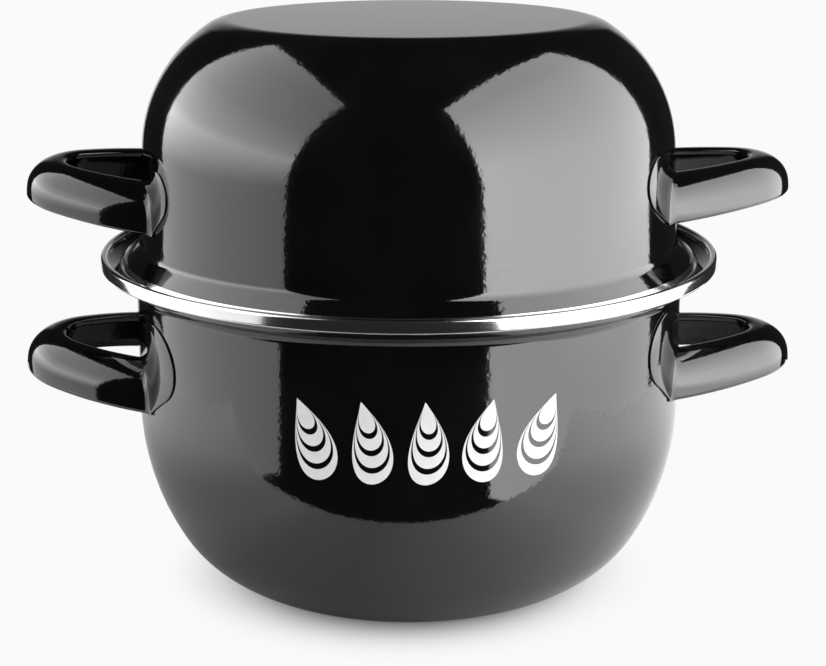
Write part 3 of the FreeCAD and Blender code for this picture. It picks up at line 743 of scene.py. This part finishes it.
def draw_band(outer, inner):
    """A flat ring of the unit disc, upright in the XZ plane, or a disc where it has no inner edge."""
    bpy.ops.mesh.primitive_circle_add(
        vertices=BAND_CORNERS, radius=outer, fill_type="NOTHING", rotation=(math.pi / 2, 0, 0))
    bpy.ops.object.transform_apply(rotation=True)
    bpy.ops.object.mode_set(mode="EDIT")
    bpy.ops.mesh.select_all(action="SELECT")
    steps = (math.sqrt(inner / outer),) * 2 if inner else DISC_STEPS
    for scale in steps:
        bpy.ops.mesh.extrude_region_move()
        bpy.ops.transform.resize(value=(scale, scale, scale))
    if not inner:
        bpy.ops.mesh.fill()
    bpy.ops.mesh.select_all(action="SELECT")
    bpy.ops.mesh.normals_make_consistent(inside=False)
    bpy.ops.object.mode_set(mode="OBJECT")
    return bpy.context.object


clear_selection()
drops = []
for index in range(SHELL_COUNT):
    place = index - SHELL_COUNT // 2
    lean = math.radians(SHELL_LEAN * place)
    mirrored = place > 0
    for outer, inner in SHELL_BANDS:
        drop = draw_band(outer, inner)
        for point in drop.data.vertices:
            wide, tall = shape_drop(point.co.x, point.co.z)
            wide *= SHELL_WIDE / 2
            tall *= SHELL_TALL / 2
            if mirrored:
                wide = -wide
            across = SHELL_MIDDLE[0] + place * SHELL_STEP + SHELL_SHIFT[mirrored]
            across += wide * math.cos(lean) + tall * math.sin(lean)
            up = SHELL_MIDDLE[1] - wide * math.sin(lean) + tall * math.cos(lean)
            point.co = (across * MM, -(POT_WALL + PRINT_AWAY) * MM, up * MM)
        drop.data.update()
        face_along(drop, Vector((0, -1, 0)))
        drops.append(drop)

clear_selection()
for drop in drops:
    drop.select_set(True)
bpy.context.view_layer.objects.active = drops[0]
bpy.ops.object.join()
motif = bpy.context.object
motif.name = "shell_print"
motif.data.name = "shell_print"
bpy.ops.object.mode_set(mode="EDIT")
bpy.ops.mesh.select_all(action="SELECT")
bpy.ops.mesh.remove_doubles(threshold=SEAM / 10)
bpy.ops.object.mode_set(mode="OBJECT")
wrap = motif.modifiers.new("wrap", "SHRINKWRAP")
wrap.target = pot
wrap.wrap_method = "PROJECT"
wrap.use_project_x = False
wrap.use_project_y = True
wrap.use_project_z = False
wrap.use_positive_direction = True
wrap.use_negative_direction = False
wrap.offset = PRINT_LIFT * MM
bpy.ops.object.modifier_apply(modifier="wrap")
thick = motif.modifiers.new("thick", "SOLIDIFY")
thick.thickness = PRINT_SHEET * MM
thick.offset = 1.0
bpy.ops.object.modifier_apply(modifier="thick")
finish_piece(motif, white_print, "enamel")

# Studio: a white table in front of a white sweep, and a large soft box on each side. The rest of the
# room is dark, so the enamel keeps its deep black between the boxes.
WHITE = (0.955, 0.955, 0.955, 1)
TABLE_MIDDLE = (0, 0.059, -0.0002)
TABLE_SIZE = (0.69, 0.442, 1)
TABLE_TURN = -4
TABLE_SHADOW = (0.048, 0.098)
TABLE_HALF = 0.2
# Painted light and shade on the table as the enamel mirrors it: grey levels across it, darkest just left
# of the middle and lightest on the right.
TABLE_PAINTED_LIGHT_AND_SHADE = (
    (-0.12, 0.64), (-0.08, 0.44), (-0.03, 0.36), (0.03, 0.50), (0.08, 0.76), (0.12, 0.98),
)
# A painted glow on the table's sides, seen only in reflections: from none near the middle up to this level
# further out.
TABLE_PAINTED_GLOW_SPAN = (0.13, 0.34)
PAINTED_GLOW_LEVEL = 0.64


def grey_stops(stops, start, span):
    """Grey (place, colour) stops from (place, level) pairs along a span that begins at -start."""
    return [((place + start) / span, (level, level, level)) for place, level in stops]


def add_math(tree, operation, first, second=0.5):
    return add_node(tree, "Math", {0: first, 1: second}, operation=operation).outputs["Value"]


def mix_shaders(tree, share, first, second):
    return add_node(tree, "MixShader", {"Fac": share, 1: first, 2: second}).outputs["Shader"]


clear_selection()
bpy.ops.mesh.primitive_grid_add(x_subdivisions=4, y_subdivisions=4, size=1.0, location=TABLE_MIDDLE)
table = bpy.context.object
table.name = "table"
table.scale = TABLE_SIZE
table.rotation_euler = (0, 0, math.radians(TABLE_TURN))
settle(table)
table_paint, tree = new_material("white_table")
paint = tree.nodes["Principled BSDF"]
feed(tree, paint, {
    "Base Color": (0.80, 0.80, 0.80, 1),
    "Roughness": 0.6,
    "Specular IOR Level": 0.2,
})
seen = add_node(tree, "LightPath").outputs
spot = add_node(tree, "TexCoord").outputs["Object"]
away = add_node(tree, "VectorMath", {0: spot}, operation="LENGTH").outputs["Value"]
fade = add_range(tree, away, TABLE_SHADOW, blend="SMOOTHSTEP")
glowing = add_math(tree, "MULTIPLY", fade, seen["Is Camera Ray"])
glow = add_node(tree, "Emission", {"Color": WHITE}).outputs["Emission"]
direct_side = mix_shaders(tree, glowing, paint.outputs["BSDF"], glow)
# Glossy rays see the table with painted shade and light: a grey ramp across it, dark near the middle under
# the pot and light towards the boxes, most of all on the right.
sideways = add_node(tree, "SeparateXYZ", {"Vector": spot}).outputs["X"]
across = add_range(tree, sideways, (-TABLE_HALF, TABLE_HALF))
painted_shade_tones = add_tones(tree, across, grey_stops(TABLE_PAINTED_LIGHT_AND_SHADE, TABLE_HALF, 2 * TABLE_HALF))
painted_shade_diffuse = add_node(tree, "BsdfDiffuse", {"Color": painted_shade_tones}).outputs["BSDF"]
# Painted light: glossy rays also see the table glow, more towards both sides, as if the boxes lit it
# there.
beside = add_math(tree, "ABSOLUTE", sideways)
painted_glow_strength = add_range(tree, beside, TABLE_PAINTED_GLOW_SPAN, (0.0, PAINTED_GLOW_LEVEL), "SMOOTHSTEP")
painted_side_glow = add_node(tree, "Emission", {"Strength": painted_glow_strength}).outputs["Emission"]
mirrored_painted_table = add_node(tree, "AddShader", {0: painted_shade_diffuse, 1: painted_side_glow}).outputs["Shader"]
both_sides = mix_shaders(tree, seen["Is Glossy Ray"], direct_side, mirrored_painted_table)
feed(tree, tree.nodes["Material Output"], {"Surface": both_sides})
table.data.materials.append(table_paint)


def soft_box(name, middle, lean, turn, width, tall, near, far, heights):
    """A glowing sheet that faces the pot, with a level at its near and far edge and stops upwards."""
    clear_selection()
    bpy.ops.mesh.primitive_grid_add(x_subdivisions=1, y_subdivisions=1, size=1.0, location=middle)
    sheet = bpy.context.object
    sheet.name = name
    sheet.scale = (width, tall, 1)
    sheet.rotation_euler = (math.radians(90 + lean), 0, math.radians(turn))
    cloth, tree = new_material(name + "_cloth")
    spot = add_node(tree, "TexCoord").outputs["Object"]
    apart = add_node(tree, "SeparateXYZ", {"Vector": spot}).outputs
    levels = (near, far) if turn > 0 else (far, near)
    level = add_range(tree, apart["X"], (-0.5, 0.5), levels)
    lifted = add_math(tree, "ADD", apart["Y"], 0.5)
    upright = add_tones(tree, lifted, grey_stops(heights, 0.5, 1.0))
    both = add_math(tree, "MULTIPLY", level, upright)
    lit = add_node(tree, "Emission", {"Strength": both}).outputs["Emission"]
    feed(tree, tree.nodes["Material Output"], {"Surface": lit})
    sheet.data.materials.append(cloth)
    sheet.visible_camera = False


soft_box(
    "left_box", (-0.7085, -0.047, 0.37), lean=16.5, turn=93, width=1.17, tall=1.475,
    near=2.61, far=4.27,
    heights=((-0.20, 0.38), (-0.03, 1.0), (0.02, 0.77), (0.16, 0.53), (0.37, 0.44)),
)
soft_box(
    "right_box", (0.6225, -0.222, 0.33), lean=11, turn=-107.5, width=1.35, tall=1.66,
    near=4.93, far=3.74,
    heights=((-0.264, 0.58), (-0.178, 1.0), (-0.02, 0.98), (0.16, 0.78), (0.37, 0.60)),
)

# Room: seen directly it is the white sweep. The enamel mirrors only a narrow part of the sweep, behind the
# pot and low, and dark walls elsewhere. A little grey light comes from all round.
ROOM_LIGHT = (0.25, 0.25, 0.25, 1)
DARK_WALLS = (0.018, 0.018, 0.018, 1)
MIRRORED_SWEEP = (0.81, 0.81, 0.81, 1)
SWEEP_SIDES = (math.radians(20), math.radians(15))
SWEEP_TOP = (0.42, -0.10)

world = bpy.data.worlds.new("studio")
bpy.context.scene.world = world
world.use_nodes = True
tree = world.node_tree
room = tree.nodes["Background"]
room.inputs["Color"].default_value = ROOM_LIGHT
sweep, back, dark = (
    add_node(tree, "Background", {"Color": colour}).outputs["Background"]
    for colour in (WHITE, MIRRORED_SWEEP, DARK_WALLS)
)
seen = add_node(tree, "LightPath").outputs
look = add_node(tree, "TexCoord").outputs["Generated"]
apart = add_node(tree, "SeparateXYZ", {"Vector": look}).outputs
turned = add_math(tree, "ARCTAN2", apart["X"], apart["Y"])
beside = add_math(tree, "ABSOLUTE", turned)
sides = add_range(tree, beside, SWEEP_SIDES, blend="SMOOTHSTEP")
top = add_range(tree, apart["Z"], SWEEP_TOP, blend="SMOOTHSTEP")
inside = add_math(tree, "MULTIPLY", sides, top)
mirrored = mix_shaders(tree, inside, dark, back)
around = mix_shaders(tree, seen["Is Glossy Ray"], room.outputs["Background"], mirrored)
direct = mix_shaders(tree, seen["Is Camera Ray"], around, sweep)
feed(tree, tree.nodes["World Output"], {"Surface": direct})

# Camera: a little above the lid's rim, square to the handles, at the distance that the rims' ovals give.
# It has no depth of field and no shift, and a slight turn brings the pot to its place in the frame.
CAMERA_PLACE = (-0.01517, -0.7376, 0.2887)
CAMERA_TURN = (math.radians(75.17), 0, math.radians(-1.3))
CAMERA_LENS = 87.3

bpy.ops.object.camera_add(location=CAMERA_PLACE, rotation=CAMERA_TURN)
camera = bpy.context.object
camera.data.sensor_width = 36.0
camera.data.lens = CAMERA_LENS
camera.data.clip_start = 0.05
bpy.context.scene.camera = camera
bpy.context.scene.view_settings.view_transform = "Standard"
